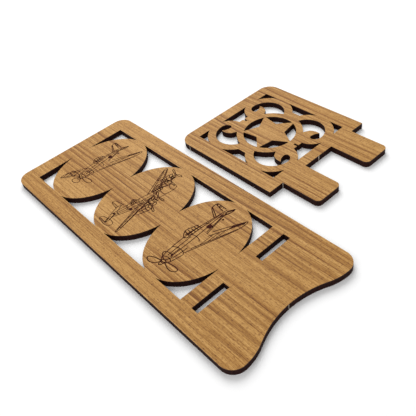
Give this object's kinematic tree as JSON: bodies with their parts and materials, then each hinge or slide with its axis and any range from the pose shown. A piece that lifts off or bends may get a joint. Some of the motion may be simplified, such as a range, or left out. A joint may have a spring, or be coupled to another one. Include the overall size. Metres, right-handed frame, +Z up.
{
  "type": "flat-pack phone stand",
  "caption": "Flat-pack phone stand in veneered board: a back panel of linked ovals with slots, and a fretwork leg with tabs, laid out flat.",
  "frame": {"origin": "middle of the back panel, on its underside, where it lies on the table", "axes": "+X across the panel towards the leg, +Y along the panel towards its top edge, +Z up out of its face"},
  "size_m": [0.1777, 0.203, 0.004],
  "materials": {
    "veneer": "satin, straight grain along Y",
    "core_board": "matte, edges charred by the laser"
  },
  "bodies": {
    "back_panel": {"panel_face_veneer": "veneer", "panel_core": "core_board", "panel_back_veneer": "veneer"},
    "leg": {"leg_face_veneer": "veneer", "leg_core": "core_board", "leg_back_veneer": "veneer"}
  },
  "joints": [
    {"name": "leg_tip_up", "type": "hinge", "parent": "back_panel", "child": "leg", "pos_m": [0.09275, 0.04765, 0], "axis": [-1, 0, 0], "range_deg": [0, 90]}
  ]
}
